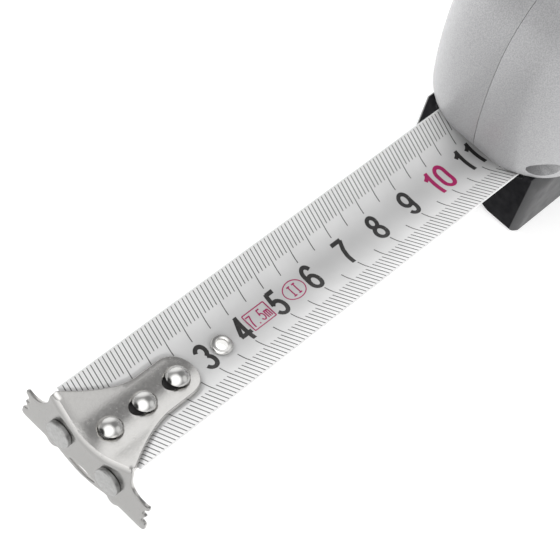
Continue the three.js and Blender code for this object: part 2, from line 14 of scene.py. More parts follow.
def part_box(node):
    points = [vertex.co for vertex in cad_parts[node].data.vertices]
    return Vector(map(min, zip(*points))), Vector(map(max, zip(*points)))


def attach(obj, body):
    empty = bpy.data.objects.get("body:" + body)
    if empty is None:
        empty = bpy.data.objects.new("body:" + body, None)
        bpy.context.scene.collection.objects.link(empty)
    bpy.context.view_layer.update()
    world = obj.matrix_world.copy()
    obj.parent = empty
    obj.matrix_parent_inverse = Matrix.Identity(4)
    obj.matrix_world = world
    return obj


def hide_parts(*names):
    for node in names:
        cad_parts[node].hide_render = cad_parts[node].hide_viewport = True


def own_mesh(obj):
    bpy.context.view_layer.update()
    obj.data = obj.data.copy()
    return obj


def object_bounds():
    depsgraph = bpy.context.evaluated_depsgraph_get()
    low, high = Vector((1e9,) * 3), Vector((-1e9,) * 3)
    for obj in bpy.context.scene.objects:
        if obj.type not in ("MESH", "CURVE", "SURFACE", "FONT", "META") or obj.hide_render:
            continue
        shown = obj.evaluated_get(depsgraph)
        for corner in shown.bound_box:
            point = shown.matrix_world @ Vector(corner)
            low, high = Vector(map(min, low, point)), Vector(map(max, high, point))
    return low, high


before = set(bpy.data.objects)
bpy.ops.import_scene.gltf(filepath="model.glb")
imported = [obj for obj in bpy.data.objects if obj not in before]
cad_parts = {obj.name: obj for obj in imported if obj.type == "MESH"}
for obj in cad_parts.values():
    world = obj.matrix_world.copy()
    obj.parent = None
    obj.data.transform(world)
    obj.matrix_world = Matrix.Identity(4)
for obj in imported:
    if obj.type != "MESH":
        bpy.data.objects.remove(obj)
CAD_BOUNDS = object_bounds()

MM = 0.001


def corners(node):
    """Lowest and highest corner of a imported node, in millimetres."""
    low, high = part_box(node)
    return low / MM, high / MM


def middle(node):
    low, high = corners(node)
    return (low + high) / 2


# Blade section: an arc along the middle and straight flanks, as a strip 25 mm wide.
BLADE_HALF = 12.5
BLADE_THICK = 0.3
ARC_HALF = 6.4
ARC_RADIUS = 11.2
FLANK_ANGLE = ARC_HALF / ARC_RADIUS
FLANK_Y = ARC_RADIUS * sin(FLANK_ANGLE)
BLADE_Z = corners("blade")[0].z
BLADE_START = corners("blade")[0].x
BLADE_END = corners("blade")[1].x

# Hook: a stamping bent at the blade's zero.
SHEET = 0.8
PLATE_LOW = 0.36
PLATE_LENGTH = 26.4
PLATE_TONGUE = 5.4
PLATE_FLARE = 6.8
PLATE_FLARE_LENGTH = 15.0
BEND_INNER = PLATE_LOW
FLANGE_OUTER_X = corners("hook")[0].x
BEND_X = FLANGE_OUTER_X + 1.1
BEND_START = FLANGE_OUTER_X + SHEET + BEND_INNER
BEND_LENGTH = (BEND_INNER + SHEET / 2) * pi / 2
RIVET_FIRST = 4.6
RIVET_PITCH = 8.7
RIVET_RADIUS = 2.45
RIVET_DOME = 1.3
RIVET_TOP = 3.15
EYELET_AT = 34.2

# Print on the blade, in millimetres from zero and across the strip.
INK = 0.02
TICK_WIDTH = 0.2
TICK_EDGE = 12.2
TICK_SHORT = (7.15, 6.75)
TICK_LONG = (4.1, 3.65)
FIRST_MARK = 2
LAST_MARK = 113
NUMERAL_HEIGHT = 6.4
NUMERAL_WIDTH = 3.35
NUMERAL_STROKE = 0.95

# Case. FAR is beyond its ends, for the solids that cut it.
FAR = 60
CASE_HALF_WIDTH = corners("case_left")[1].y
CASE_EDGE = 14.0
CASE_WALL = 2.2
CASE_BOTTOM = 9.0
NOSE_X = corners("case_left")[0].x
NOSE_Z = 46.0
NOSE_RADIUS = 95.0
BROW_RADIUS = 28.0
REAR_X = corners("case_left")[1].x
REAR_Z = 44.0
REAR_RADIUS = 90.0
SHOULDER_RADIUS = 30.0
HEEL_RADIUS = 15.0
HEEL_ANGLE = 0.27
FRONT_HEM = 17.7
REAR_HEM = 14.0
LIP_FLAT = 5.0
LIP_HALF = 11.5
LIP_DROP = 2.0
SEAM_GAP = 0.05
AXLE = middle("axle_post")
SCREW_HEAD = 2.3
SCREW_BOSS = 4.0
SCREW_HOLE = 1.6
SCREW_SEAT = -10.0
LOCK_FROM = 108.0
LOCK_TO = 138.0
LOCK_STEM_TO = 128.0
LOCK_SWING = 10.0
LOCK_TOP = 30.9
LOCK_UNDER = 28.4
LOCK_HALF = 8.0
LOCK_STEM_HALF = 3.5
BASE_GAP = 0.3
BASE_TOE = 1.5
BASE_WALL = 2.2
BASE_FLOOR = 3.2


# ---- meshes ------------------------------------------------------------------


def new_object(name, data):
    made = bpy.data.objects.new(name, data)
    bpy.context.scene.collection.objects.link(made)
    return made


def add_piece(name, skin, look, body=None, replaces=(), smooth=35):
    """A mesh piece from points in millimetres and faces, smooth up to an angle between faces."""
    points, faces = skin
    mesh = bpy.data.meshes.new(name)
    mesh.from_pydata([Vector(p) * MM for p in points], [], faces)
    piece = new_object(name, mesh)
    clean_mesh(mesh, smooth)
    mesh.materials.append(MATERIALS[look])
    if body:
        settle(piece, body, replaces)
    return piece


def clean_mesh(mesh, smooth):
    """Merges doubled points, turns faces outwards and marks edges sharper than an angle."""
    work = bmesh.new()
    work.from_mesh(mesh)
    bmesh.ops.remove_doubles(work, verts=work.verts, dist=1e-7)
    bmesh.ops.recalc_face_normals(work, faces=work.faces)
    work.to_mesh(mesh)
    work.free()
    shade(mesh, smooth)


def shade(mesh, smooth):
    """Shades a mesh smooth, but for edges sharper than an angle in degrees."""
    mesh.shade_smooth()
    mesh.set_sharp_from_angle(angle=radians(smooth))


def settle(piece, body, replaces=()):
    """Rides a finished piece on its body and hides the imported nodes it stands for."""
    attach(piece, body)
    if replaces:
        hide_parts(*replaces)


def bowl(cx, cy, rx, ry, start, end, steps=18):
    """Points on part of an ellipse, from a start to an end angle in degrees."""
    angles = [radians(start + (end - start) * i / steps) for i in range(steps + 1)]
    return [(cx + rx * cos(a), cy + ry * sin(a)) for a in angles]


def arc(cx, cy, radius, start, end, steps):
    return bowl(cx, cy, radius, radius, start, end, steps)


def circle(x, y, radius, steps=32):
    return arc(x, y, radius, 0, 360, steps)[:-1]


def loft(rings, closed_ends=True):
    """Points and faces of a skin through rings of equal length."""
    count = len(rings[0])
    points = [p for ring in rings for p in ring]
    faces = []
    for r in range(len(rings) - 1):
        for i in range(count):
            a = r * count + i
            b = r * count + (i + 1) % count
            faces.append((a, b, b + count, a + count))
    if closed_ends:
        faces.append(tuple(range(count - 1, -1, -1)))
        last = (len(rings) - 1) * count
        faces.append(tuple(range(last, last + count)))
    return points, faces


def turned(profile, steps, place):
    """Points and faces of a turned piece; place puts two cross coordinates and a height in space."""
    rings = []
    for radius, height in profile:
        ring = []
        for i in range(steps):
            a = 2 * pi * i / steps
            ring.append(place(radius * cos(a), radius * sin(a), height))
        rings.append(ring)
    return loft(rings, closed_ends=profile[0] != profile[-1])


def eased(profile, radius, steps=3):
    """A turned profile with a small radius on each corner between its ends."""
    rounded = [profile[0]]
    for before, corner, after in zip(profile, profile[1:], profile[2:]):
        c = Vector(corner)
        a = Vector(before) - c
        b = Vector(after) - c
        reach = min(radius, a.length / 2, b.length / 2)
        p = c + a.normalized() * reach
        q = c + b.normalized() * reach
        for i in range(steps + 1):
            t = i / steps
            rounded.append(tuple(p * (1 - t) ** 2 + c * 2 * t * (1 - t) + q * t * t))
    rounded.append(profile[-1])
    return rounded


def sides_of(loop):
    """The pairs of neighbouring points round a closed loop."""
    return zip(loop, loop[1:] + loop[:1])


def signed_area(loop):
    total = 0.0
    for (x0, y0), (x1, y1) in sides_of(loop):
        total += x0 * y1 - x1 * y0
    return total / 2


def inset_loop(loop, amount):
    """A loop moved sideways into its left-hand side by an amount."""
    moved = []
    count = len(loop)
    for i, point in enumerate(loop):
        here = Vector(point)
        before = (here - Vector(loop[i - 1])).normalized()
        after = (Vector(loop[(i + 1) % count]) - here).normalized()
        normal = Vector((-before.y - after.y, before.x + after.x))
        if normal.length < 1e-6:
            moved.append(tuple(here))
            continue
        normal.normalize()
        turn = max(normal.dot(Vector((-after.y, after.x))), 0.5)
        moved.append(tuple(here + normal * (amount / turn)))
    return moved


def inside_loop(point, loop):
    x, y = point
    inside = False
    for (x0, y0), (x1, y1) in sides_of(loop):
        if (y0 > y) != (y1 > y) and x < (x1 - x0) * (y - y0) / (y1 - y0) + x0:
            inside = not inside
    return inside


def distance_to_loop(point, loop):
    p = Vector(point)
    best = 1e9
    for a, b in sides_of(loop):
        a = Vector(a)
        side = Vector(b) - a
        t = max(0.0, min(1.0, (p - a).dot(side) / max(side.length_squared, 1e-12)))
        best = min(best, (p - a - side * t).length)
    return best


def in_material(point, loops):
    return inside_loop(point, loops[0]) and not any(inside_loop(point, hole) for hole in loops[1:])


def filled(loops, pitch):
    """Triangles that fill an outline with holes, with extra points on a grid of a pitch."""
    flat = [Vector(p) for loop in loops for p in loop]
    edges = []
    start = 0
    for loop in loops:
        count = len(loop)
        edges += [(start + i, start + (i + 1) % count) for i in range(count)]
        start += count
    xs = [p[0] for p in loops[0]]
    ys = [p[1] for p in loops[0]]
    step_x, step_y = pitch
    near = min(step_x, step_y) * 0.45
    for i in range(1, int((max(xs) - min(xs)) / step_x) + 1):
        for k in range(1, int((max(ys) - min(ys)) / step_y) + 1):
            point = (min(xs) + i * step_x, min(ys) + k * step_y)
            if in_material(point, loops) and all(distance_to_loop(point, loop) > near for loop in loops):
                flat.append(Vector(point))
    found = delaunay_2d_cdt(flat, edges, [], 0, 1e-6)
    points = [tuple(p) for p in found[0]]
    place = {}
    for new, old in enumerate(found[3]):
        for index in old:
            place[index] = new
    triangles = []
    for tri in found[2]:
        middle = (sum(points[i][0] for i in tri) / 3, sum(points[i][1] for i in tri) / 3)
        if in_material(middle, loops):
            triangles.append(tuple(tri))
    return points, triangles, place


def plate(outline, holes, low, high, edge, place, pitch):
    """A closed plate cut to an outline with holes, with eased edges, laid by place(point, height)."""
    loops = [outline if signed_area(outline) > 0 else outline[::-1]]
    loops += [hole if signed_area(hole) < 0 else hole[::-1] for hole in holes]
    narrow = [inset_loop(loop, edge) for loop in loops]
    flat, triangles, index = filled(narrow, pitch)
    points = [place(p, low) for p in flat] + [place(p, high) for p in flat]
    shift = len(flat)
    faces = [tuple(reversed(tri)) for tri in triangles]
    faces += [tuple(i + shift for i in tri) for tri in triangles]
    start = 0
    quarter = [(1 - cos(a), 1 - sin(a)) for a in (pi / 6, pi / 3)]
    for loop, inner in zip(loops, narrow):
        count = len(loop)
        bottom = [index[start + i] for i in range(count)]
        rings = [bottom]
        levels = [(out, low + edge * up) for up, out in quarter]
        levels += [(0.0, low + edge), (0.0, high - edge)]
        levels += [(out, high - edge * up) for up, out in reversed(quarter)]
        for out, height in levels:
            ring = []
            for wide, tight in zip(loop, inner):
                p = Vector(wide).lerp(Vector(tight), out)
                ring.append(len(points))
                points.append(place(tuple(p), height))
            rings.append(ring)
        rings.append([i + shift for i in bottom])
        for a, b in zip(rings, rings[1:]):
            for i in range(count):
                k = (i + 1) % count
                faces.append((a[i], a[k], b[k], b[i]))
        start += count
    return points, faces


def refined(line, step=0.5):
    """A line with extra points, so that no side is longer than a step."""
    points = [line[0]]
    for a, b in zip(line, line[1:]):
        count = max(1, ceil(dist(a, b) / step))
        for i in range(1, count):
            points.append((a[0] + (b[0] - a[0]) * i / count, a[1] + (b[1] - a[1]) * i / count))
        points.append(b)
    return points


def dense(loop, step):
    """The same for a closed loop."""
    return refined(loop + loop[:1], step)[:-1]


def boolean(target, cutter, operation="DIFFERENCE"):
    """Joins or cuts a solid object with another, which is then removed."""
    modifier = target.modifiers.new("cut", "BOOLEAN")
    modifier.object = cutter
    modifier.operation = operation
    modifier.solver = "EXACT"
    apply_modifiers(target)
    bpy.data.objects.remove(cutter)


def apply_modifiers(piece):
    bpy.context.view_layer.update()
    graph = bpy.context.evaluated_depsgraph_get()
    mesh = bpy.data.meshes.new_from_object(piece.evaluated_get(graph))
    piece.modifiers.clear()
    piece.data = mesh


def repaint(piece, *looks):
    """Swaps a piece's materials for others."""
    piece.data.materials.clear()
    for look in looks:
        piece.data.materials.append(MATERIALS[look])


def bevel(piece, width, segments=3, angle=40):
    """Rounds a piece's sharp edges and shades it smooth."""
    modifier = piece.modifiers.new("round", "BEVEL")
    modifier.width = width * MM
    modifier.segments = segments
    modifier.limit_method = "ANGLE"
    modifier.angle_limit = radians(angle)
    apply_modifiers(piece)
    clean_mesh(piece.data, 40)


# ---- materials ---------------------------------------------------------------


def set_inputs(node, **values):
    """Sets a node's sockets; an underscore in a name stands for a space."""
    for socket, value in values.items():
        node.inputs[socket.replace("_", " ")].default_value = value
    return node


def new_material(name, color, roughness, metallic=0.0, **more):
    """A Principled material with constant values; more names further sockets."""
    material = bpy.data.materials.new(name)
    material.use_nodes = True
    shader = material.node_tree.nodes["Principled BSDF"]
    set_inputs(shader, Base_Color=(*color, 1), Roughness=roughness, Metallic=metallic, **more)
    return material


def drive(material, output, socket):
    """Links a node's output to one of the material's Principled sockets."""
    shader = material.node_tree.nodes["Principled BSDF"]
    material.node_tree.links.new(output, shader.inputs[socket])


def noise_output(material, scale, detail, stretch=None):
    """A noise over the piece's own space, which a stretch can draw out into lines."""
    tree = material.node_tree
    noise = set_inputs(tree.nodes.new("ShaderNodeTexNoise"), Scale=scale, Detail=detail)
    source = tree.nodes.new("ShaderNodeTexCoord").outputs["Object"]
    if stretch:
        mapping = set_inputs(tree.nodes.new("ShaderNodeMapping"), Scale=stretch)
        tree.links.new(source, mapping.inputs["Vector"])
        source = mapping.outputs["Vector"]
    tree.links.new(source, noise.inputs["Vector"])
    return noise.outputs["Fac"]


def vary_color(material, noise, dark, light):
    tree = material.node_tree
    ramp = tree.nodes.new("ShaderNodeValToRGB")
    for stop, position, tone in zip(ramp.color_ramp.elements, (0.35, 0.65), (dark, light)):
        stop.position = position
        stop.color = (*tone, 1)
    tree.links.new(noise, ramp.inputs["Fac"])
    drive(material, ramp.outputs["Color"], "Base Color")


def vary_roughness(material, noise, low, high):
    tree = material.node_tree
    span = tree.nodes.new("ShaderNodeMapRange")
    set_inputs(span, From_Min=0.3, From_Max=0.7, To_Min=low, To_Max=high)
    tree.links.new(noise, span.inputs["Value"])
    drive(material, span.outputs["Result"], "Roughness")


def add_bump(material, noise, strength, depth):
    tree = material.node_tree
    bump = set_inputs(tree.nodes.new("ShaderNodeBump"), Strength=strength, Distance=depth * MM)
    tree.links.new(noise, bump.inputs["Height"])
    drive(material, bump.outputs["Normal"], "Normal")


def finish(name, color, roughness, metallic=0.0, tones=None, sheen=None, grain=None, stretch=None, **more):
    """A material that varies over the surface.

    Each variation is a noise's scale and detail, then two values: a dark and a light tone, a low
    and a high roughness, or a bump's strength and its depth in millimetres.
    """
    material = new_material(name, color, roughness, metallic, **more)
    for vary, values in ((vary_color, tones), (vary_roughness, sheen), (add_bump, grain)):
        if values:
            scale, detail, first, second = values
            vary(material, noise_output(material, scale, detail, stretch), first, second)
    return material


def black_plastic(name, specular, roughness):
    return finish(
        name, (0.01, 0.01, 0.011), roughness, Specular_IOR_Level=specular,
        tones=(500, 3, (0.008, 0.008, 0.009), (0.014, 0.014, 0.015)),
        sheen=(300, 3, roughness - 0.05, roughness + 0.07), grain=(2600, 3, 0.2, 0.03))


def nickel():
    """Bright plating with a slight orange peel; past the bend, the flange's colour is darkened as a painted
    shade.
    """
    bright = (0.7, 0.69, 0.675)
    flange_shade = (0.34, 0.336, 0.328)
    material = finish("nickel", bright, 0.22, 1.0, sheen=(1500, 5, 0.16, 0.28), grain=(2300, 3, 0.4, 0.04))
    tree = material.node_tree
    place = tree.nodes.new("ShaderNodeTexCoord")
    split = tree.nodes.new("ShaderNodeSeparateXYZ")
    # Painted shade: by position along X, the colour falls from the bright plate tone to a darker one across
    # the bend, so the flange looks shaded.
    tone = tree.nodes.new("ShaderNodeMapRange")
    set_inputs(tone, From_Min=(BEND_START - 1.1) * MM, From_Max=(BEND_START - 0.5) * MM)
    ramp = tree.nodes.new("ShaderNodeMix")
    ramp.data_type = "RGBA"
    set_inputs(ramp, A=(*flange_shade, 1), B=(*bright, 1))
    tree.links.new(place.outputs["Object"], split.inputs["Vector"])
    tree.links.new(split.outputs["X"], tone.inputs["Value"])
    tree.links.new(tone.outputs["Result"], ramp.inputs["Factor"])
    drive(material, ramp.outputs["Result"], "Base Color")
    return material


def ink(name, color, spread):
    low = tuple(c * (1 - spread) for c in color)
    high = tuple(min(c * (1 + spread), 1) for c in color)
    return finish(name, color, 0.4, tones=(2600, 4, low, high), sheen=(900, 3, 0.34, 0.5))


MATERIALS = {
    "silver": finish(
        "silver_paint", (0.29, 0.29, 0.295), 0.36, 0.2, Coat_Weight=0.1, Coat_Roughness=0.2,
        tones=(3800, 2, (0.25, 0.25, 0.255), (0.33, 0.33, 0.335)),
        sheen=(900, 3, 0.3, 0.4), grain=(3800, 2, 0.1, 0.03)),
    "plastic": black_plastic("black_plastic", 0.5, 0.34),
    "textured": black_plastic("textured_plastic", 0.02, 0.6),
    "rubber": finish(
        "black_rubber", (0.018, 0.018, 0.019), 0.75,
        tones=(260, 3, (0.014, 0.014, 0.015), (0.028, 0.028, 0.029)),
        sheen=(700, 3, 0.66, 0.84), grain=(4200, 4, 0.35, 0.05)),
    "nickel": nickel(),
    "polished": finish(
        "polished_nickel", (0.74, 0.735, 0.72), 0.14, 1.0,
        sheen=(1400, 4, 0.1, 0.2), grain=(900, 3, 0.05, 0.04)),
    "magnet": finish(
        "magnet_face", (0.4, 0.4, 0.395), 0.4, 1.0,
        tones=(2200, 5, (0.36, 0.36, 0.355), (0.44, 0.44, 0.435)),
        sheen=(1200, 3, 0.34, 0.5), grain=(2200, 5, 0.12, 0.03)),
    "steel": finish(
        "brushed_steel", (0.55, 0.555, 0.56), 0.3, 1.0, stretch=(1, 1, 0.05),
        tones=(900, 4, (0.48, 0.485, 0.49), (0.6, 0.605, 0.61)),
        sheen=(900, 4, 0.24, 0.38), grain=(900, 4, 0.08, 0.02)),
    "blued": finish(
        "blued_steel", (0.2, 0.23, 0.28), 0.32, 1.0, stretch=(1, 0.1, 1),
        tones=(500, 4, (0.14, 0.16, 0.21), (0.26, 0.28, 0.32)), sheen=(500, 4, 0.26, 0.42)),
    "zinc": finish(
        "zinc", (0.45, 0.455, 0.46), 0.35, 1.0,
        tones=(1600, 4, (0.38, 0.385, 0.39), (0.52, 0.525, 0.53)), sheen=(1600, 4, 0.28, 0.46)),
    "nylon": finish(
        "nylon", (0.75, 0.73, 0.68), 0.45, Subsurface_Weight=0.05,
        tones=(180, 3, (0.7, 0.68, 0.62), (0.79, 0.78, 0.74)), grain=(2400, 2, 0.1, 0.03)),
    "lacquer": finish(
        "blade_lacquer", (0.57, 0.57, 0.57), 0.42, Coat_Weight=0.12, Coat_Roughness=0.3,
        tones=(120, 4, (0.55, 0.55, 0.55), (0.59, 0.59, 0.59)),
        sheen=(450, 4, 0.36, 0.5), grain=(2200, 3, 0.05, 0.02)),
    # Black print ink; the same material also makes the painted shadow in the rivet slots.
    "black_ink_and_shade": ink("black_ink_and_shade", (0.028, 0.027, 0.027), 0.3),
    "scale_ink": ink("scale_ink", (0.05, 0.05, 0.05), 0.2),
    "magenta_ink": ink("magenta_ink", (0.37, 0.012, 0.11), 0.12),
}


# ---- blade -------------------------------------------------------------------


def section(along, lift=0.0, bend=1.0):
    """Side position and height of the blade's section; bend is 1 when free and 0 when flat."""
    in_arc = min(abs(along), ARC_HALF)
    flank = abs(along) - in_arc
    angle = bend * in_arc / ARC_RADIUS
    arc_y = in_arc * sin(angle) / angle if angle > 1e-6 else in_arc
    arc_z = in_arc * (1 - cos(angle)) / angle if angle > 1e-6 else 0.0
    side = copysign(1, along)
    y = side * (arc_y + flank * cos(angle) - lift * sin(angle))
    z = arc_z + flank * sin(angle) + lift * cos(angle)
    return y, z


def on_blade(point, height):
    """A point of the strip, from the hook's bend and across, at a height over its underside."""
    y, z = section(point[1], height)
    return BEND_X + point[0], y, BLADE_Z + z


def make_blade():
    start = BLADE_START - BEND_X
    end = BLADE_END - BEND_X
    outline = dense([(start, -BLADE_HALF), (end, -BLADE_HALF), (end, BLADE_HALF), (start, BLADE_HALF)], 0.8)
    holes = [circle(RIVET_FIRST + RIVET_PITCH * i, 0, 1.5, 20) for i in range(3)]
    holes.append(circle(EYELET_AT, 0, 1.75, 24))
    skin = plate(outline, holes, 0, BLADE_THICK, 0.06, on_blade, (1.6, 0.78))
    blade = add_piece("blade_strip", skin, "lacquer", "tape", ["blade"])
    shorten(blade)


def shorten(piece):
    """Gives a piece of the blade its own copy of its mesh."""
    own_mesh(piece)


def make_scale():
    """All the millimetre marks as thin films of ink across the strip's edges."""
    points = []
    faces = []
    low = BLADE_THICK - INK
    high = BLADE_THICK + INK
    half = TICK_WIDTH / 2
    for mark in range(FIRST_MARK, LAST_MARK + 1):
        inner = TICK_LONG if mark % 5 == 0 else TICK_SHORT
        for side, reach in zip((1, -1), inner):
            steps = max(2, round((TICK_EDGE - reach) / 0.6))
            rings = []
            for i in range(steps + 1):
                across = side * (reach + (TICK_EDGE - reach) * i / steps)
                bar = [(mark - half, low), (mark + half, low), (mark + half, high), (mark - half, high)]
                rings.append([on_blade((s, across), height) for s, height in bar])
            more, skin = loft(rings)
            faces += [tuple(i + len(points) for i in face) for face in skin]
            points += more
    shorten(add_piece("blade_scale", (points, faces), "scale_ink", "tape"))


# Numerals as centre lines of strokes, in a box 1 wide and 1 high.
DIGITS = {
    "0": [bowl(0.5, 0.7, 0.5, 0.3, 0, 180) + bowl(0.5, 0.3, 0.5, 0.3, 180, 360) + [(1, 0.7)]],
    "1": [[(0.62, -0.07), (0.62, 1.07)], [(0.62, 0.96), (0.42, 0.86), (0.12, 0.78)]],
    "3": [bowl(0.48, 0.76, 0.46, 0.24, 165, -70), bowl(0.48, 0.27, 0.5, 0.27, 72, -165)],
    "4": [[(0.72, -0.07), (0.72, 1.05)], [(0.74, 1.0), (0.02, 0.3)], [(-0.1, 0.27), (1.12, 0.27)]],
    "5": [[(1.0, 1), (0.2, 1)], [(0.24, 1.05), (0.12, 0.5)], bowl(0.46, 0.31, 0.52, 0.31, 142, -160)],
    "6": [bowl(0.52, 0.7, 0.46, 0.3, 22, 180) + [(0.03, 0.3)], bowl(0.5, 0.29, 0.48, 0.29, 0, 360, 30)],
    "7": [[(-0.08, 1), (1.06, 1)], [(1.0, 1.0), (0.62, 0.62), (0.44, 0.3), (0.36, -0.07)]],
    "8": [bowl(0.5, 0.77, 0.42, 0.23, 0, 360, 30), bowl(0.5, 0.27, 0.5, 0.27, 0, 360, 30)],
    "9": [bowl(0.48, 0.3, 0.46, 0.3, 202, 360) + [(0.97, 0.7)], bowl(0.5, 0.71, 0.48, 0.29, 0, 360, 30)],
    "m": [[(0, -0.07), (0, 0.66)], [(0.5, -0.07), (0.5, 0.45)], [(1, -0.07), (1, 0.45)],
          bowl(0.25, 0.42, 0.25, 0.2, 0, 180, 8), bowl(0.75, 0.42, 0.25, 0.2, 0, 180, 8)],
    ".": [[(0.35, -0.07), (0.35, 0.06)]],
    "I": [[(0.5, -0.07), (0.5, 1.07)], [(0.1, 1.0), (0.9, 1.0)], [(0.1, 0.0), (0.9, 0.0)]],
}


def ribbon(line, width):
    """A stroke's centre line as a band of small quads."""
    quads = []
    sides = []
    for i, point in enumerate(line):
        here = Vector(point)
        ahead = Vector(line[min(i + 1, len(line) - 1)])
        behind = Vector(line[max(i - 1, 0)])
        along = (ahead - behind).normalized()
        across = Vector((-along.y, along.x)) * width / 2
        sides.append((tuple(here - across), tuple(here + across)))
    for (a, b), (c, d) in zip(sides, sides[1:]):
        quads.append([a, c, d, b])
    return quads


def strokes_of(text, centre, height, stroke, width, gap):
    """Bands for a short text, centred on a point of the strip."""
    cell = width - stroke
    tall = height - stroke
    total = len(text) * width + (len(text) - 1) * gap
    bands = []
    for order, digit in enumerate(text):
        left = centre[0] - total / 2 + order * (width + gap) + stroke / 2
        for line in DIGITS[digit]:
            placed = [(left + x * cell, centre[1] - tall / 2 + y * tall) for x, y in line]
            bands += ribbon(refined(placed), stroke)
    return bands


def film(quads):
    """One thin film of ink over overlapping quads, as points and faces on the blade."""
    flat = []
    edges = []
    for quad in quads:
        start = len(flat)
        flat += [Vector(p) for p in quad]
        edges += [(start + i, start + (i + 1) % 4) for i in range(4)]
    found = delaunay_2d_cdt(flat, edges, [], 0, 1e-5)
    corners_2d = [tuple(p) for p in found[0]]
    kept = []
    for tri in found[2]:
        middle = tuple(sum(corners_2d[i][k] for i in tri) / 3 for k in (0, 1))
        if any(inside_loop(middle, quad) for quad in quads):
            kept.append(tuple(tri))
    return thick_film(corners_2d, kept)


def thick_film(flat, triangles):
    """A film from triangles on the strip, with walls round its border."""
    shift = len(flat)
    points = [on_blade(p, BLADE_THICK - INK) for p in flat]
    points += [on_blade(p, BLADE_THICK + INK) for p in flat]
    faces = [tuple(reversed(tri)) for tri in triangles]
    faces += [tuple(i + shift for i in tri) for tri in triangles]
    sides = set()
    for tri in triangles:
        sides.update(sides_of(tri))
    for a, b in sides:
        if (b, a) not in sides:
            faces.append((a, b, b + shift, a + shift))
    used = sorted({i for face in faces for i in face})
    order = {old: new for new, old in enumerate(used)}
    return [points[i] for i in used], [tuple(order[i] for i in face) for face in faces]


def add_film(name, quads, material):
    shorten(add_piece(name, film(quads), material, "tape"))


def make_numerals():
    """The centimetre numerals, black but for the ten."""
    for number in (3, 4, 5, 6, 7, 8, 9, 11, 10):
        centre = (number * 10, 0)
        quads = strokes_of(str(number), centre, NUMERAL_HEIGHT, NUMERAL_STROKE, NUMERAL_WIDTH, 0.1)
        add_film(f"numeral_{number}", quads, "magenta_ink" if number == 10 else "black_ink_and_shade")


def make_marks():
    """A boxed length and an oval accuracy class between the numerals."""
    box_low = (41.95, -1.85)
    box_high = (47.9, 2.2)
    line = 0.24
    frame_line = [box_low, (box_high[0], box_low[1]), box_high, (box_low[0], box_high[1])]
    quads = []
    for a, b in sides_of(frame_line):
        quads += ribbon([a, b], line)
    middle = ((box_low[0] + box_high[0]) / 2, (box_low[1] + box_high[1]) / 2)
    quads += strokes_of("7.5m", middle, 2.9, 0.3, 1.25, 0.12)
    add_film("length_mark", quads, "magenta_ink")
    centre = (55.1, 0.15)
    quads = ribbon(bowl(*centre, 2.7, 2.15, 0, 360, 48), line)
    quads += strokes_of("II", centre, 2.7, 0.3, 1.3, 0.12)
    add_film("class_mark", quads, "magenta_ink")


def make_throat():
    """The stretch of blade in the mouth, which flattens before it reaches the coil."""
    low, high = corners("blade_throat")
    count = 28
    flatten_from = -15
    flatten_over = 12
    across = [BLADE_HALF * (2 * k / count - 1) for k in range(count + 1)]
    rings = []
    for i in range(count + 1):
        t = i / count
        x = low.x + (high.x - low.x) * t
        flatten = max(0.0, min(1.0, (x - flatten_from) / flatten_over))
        bend = 1 - flatten * flatten * (3 - 2 * flatten)
        under = [section(w, 0, bend) for w in across]
        over = [section(w, BLADE_THICK, bend) for w in reversed(across)]
        rings.append([(x, y, BLADE_Z + z) for y, z in under + over])
    skin = loft(rings)
    throat = add_piece("blade_in_throat", skin, "lacquer", "case", ["blade_throat"])
    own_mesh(throat)


def make_eyelet():
    """The hollow rivet in the blade: a rolled rim round a see-through hole."""
    profile = [(1.15, -0.65), (2.15, -0.65), (2.2, -0.3), (1.6, -0.1), (1.6, 0.6), (2.25, 0.62)]
    profile += [(2.3, 0.8), (2.2, 1.0), (1.95, 1.15), (1.6, 1.12), (1.3, 0.95), (1.15, 0.6)]
    profile.append(profile[0])
    skin = turned(profile, 48, lambda x, y, z: (BEND_X + EYELET_AT + x, y, BLADE_Z + z))
    ring = add_piece("eyelet_ring", skin, "polished", "tape", ["eyelet"])
    shorten(ring)


# ---- hook --------------------------------------------------------------------


def plate_half(s):
    flare = max(1 - s / PLATE_FLARE_LENGTH, 0) ** 1.5
    return PLATE_TONGUE + PLATE_FLARE * flare


def on_hook(point, height):
    """Lays the flat blank of the hook: plate above zero, then the bend, then the flange below."""
    u, across = point
    lift = PLATE_LOW + height
    if u >= 0:
        y, z = section(across, lift)
        return BEND_START + u, y, BLADE_Z + z
    y, z = section(across, 0)
    top_y, top_z = section(across, 1)
    turn = min(-u / BEND_LENGTH, 1) * pi / 2
    radius = BEND_INNER + height
    x = BEND_START - radius * sin(turn)
    drop = max(-u - BEND_LENGTH, 0)
    y += (top_y - y) * radius * cos(turn)
    z += (top_z - z) * radius * cos(turn)
    return x, y, BLADE_Z + z - drop


def flange_blank(y, z):
    """The blank's point that ends up at a side position and height on the flange."""
    side = copysign(1, y)
    if abs(y) <= FLANK_Y:
        across = side * ARC_RADIUS * asin(abs(y) / ARC_RADIUS)
    else:
        across = side * (ARC_HALF + (abs(y) - FLANK_Y) / cos(FLANK_ANGLE))
    return -BEND_LENGTH + z - section(across, 0)[1], across


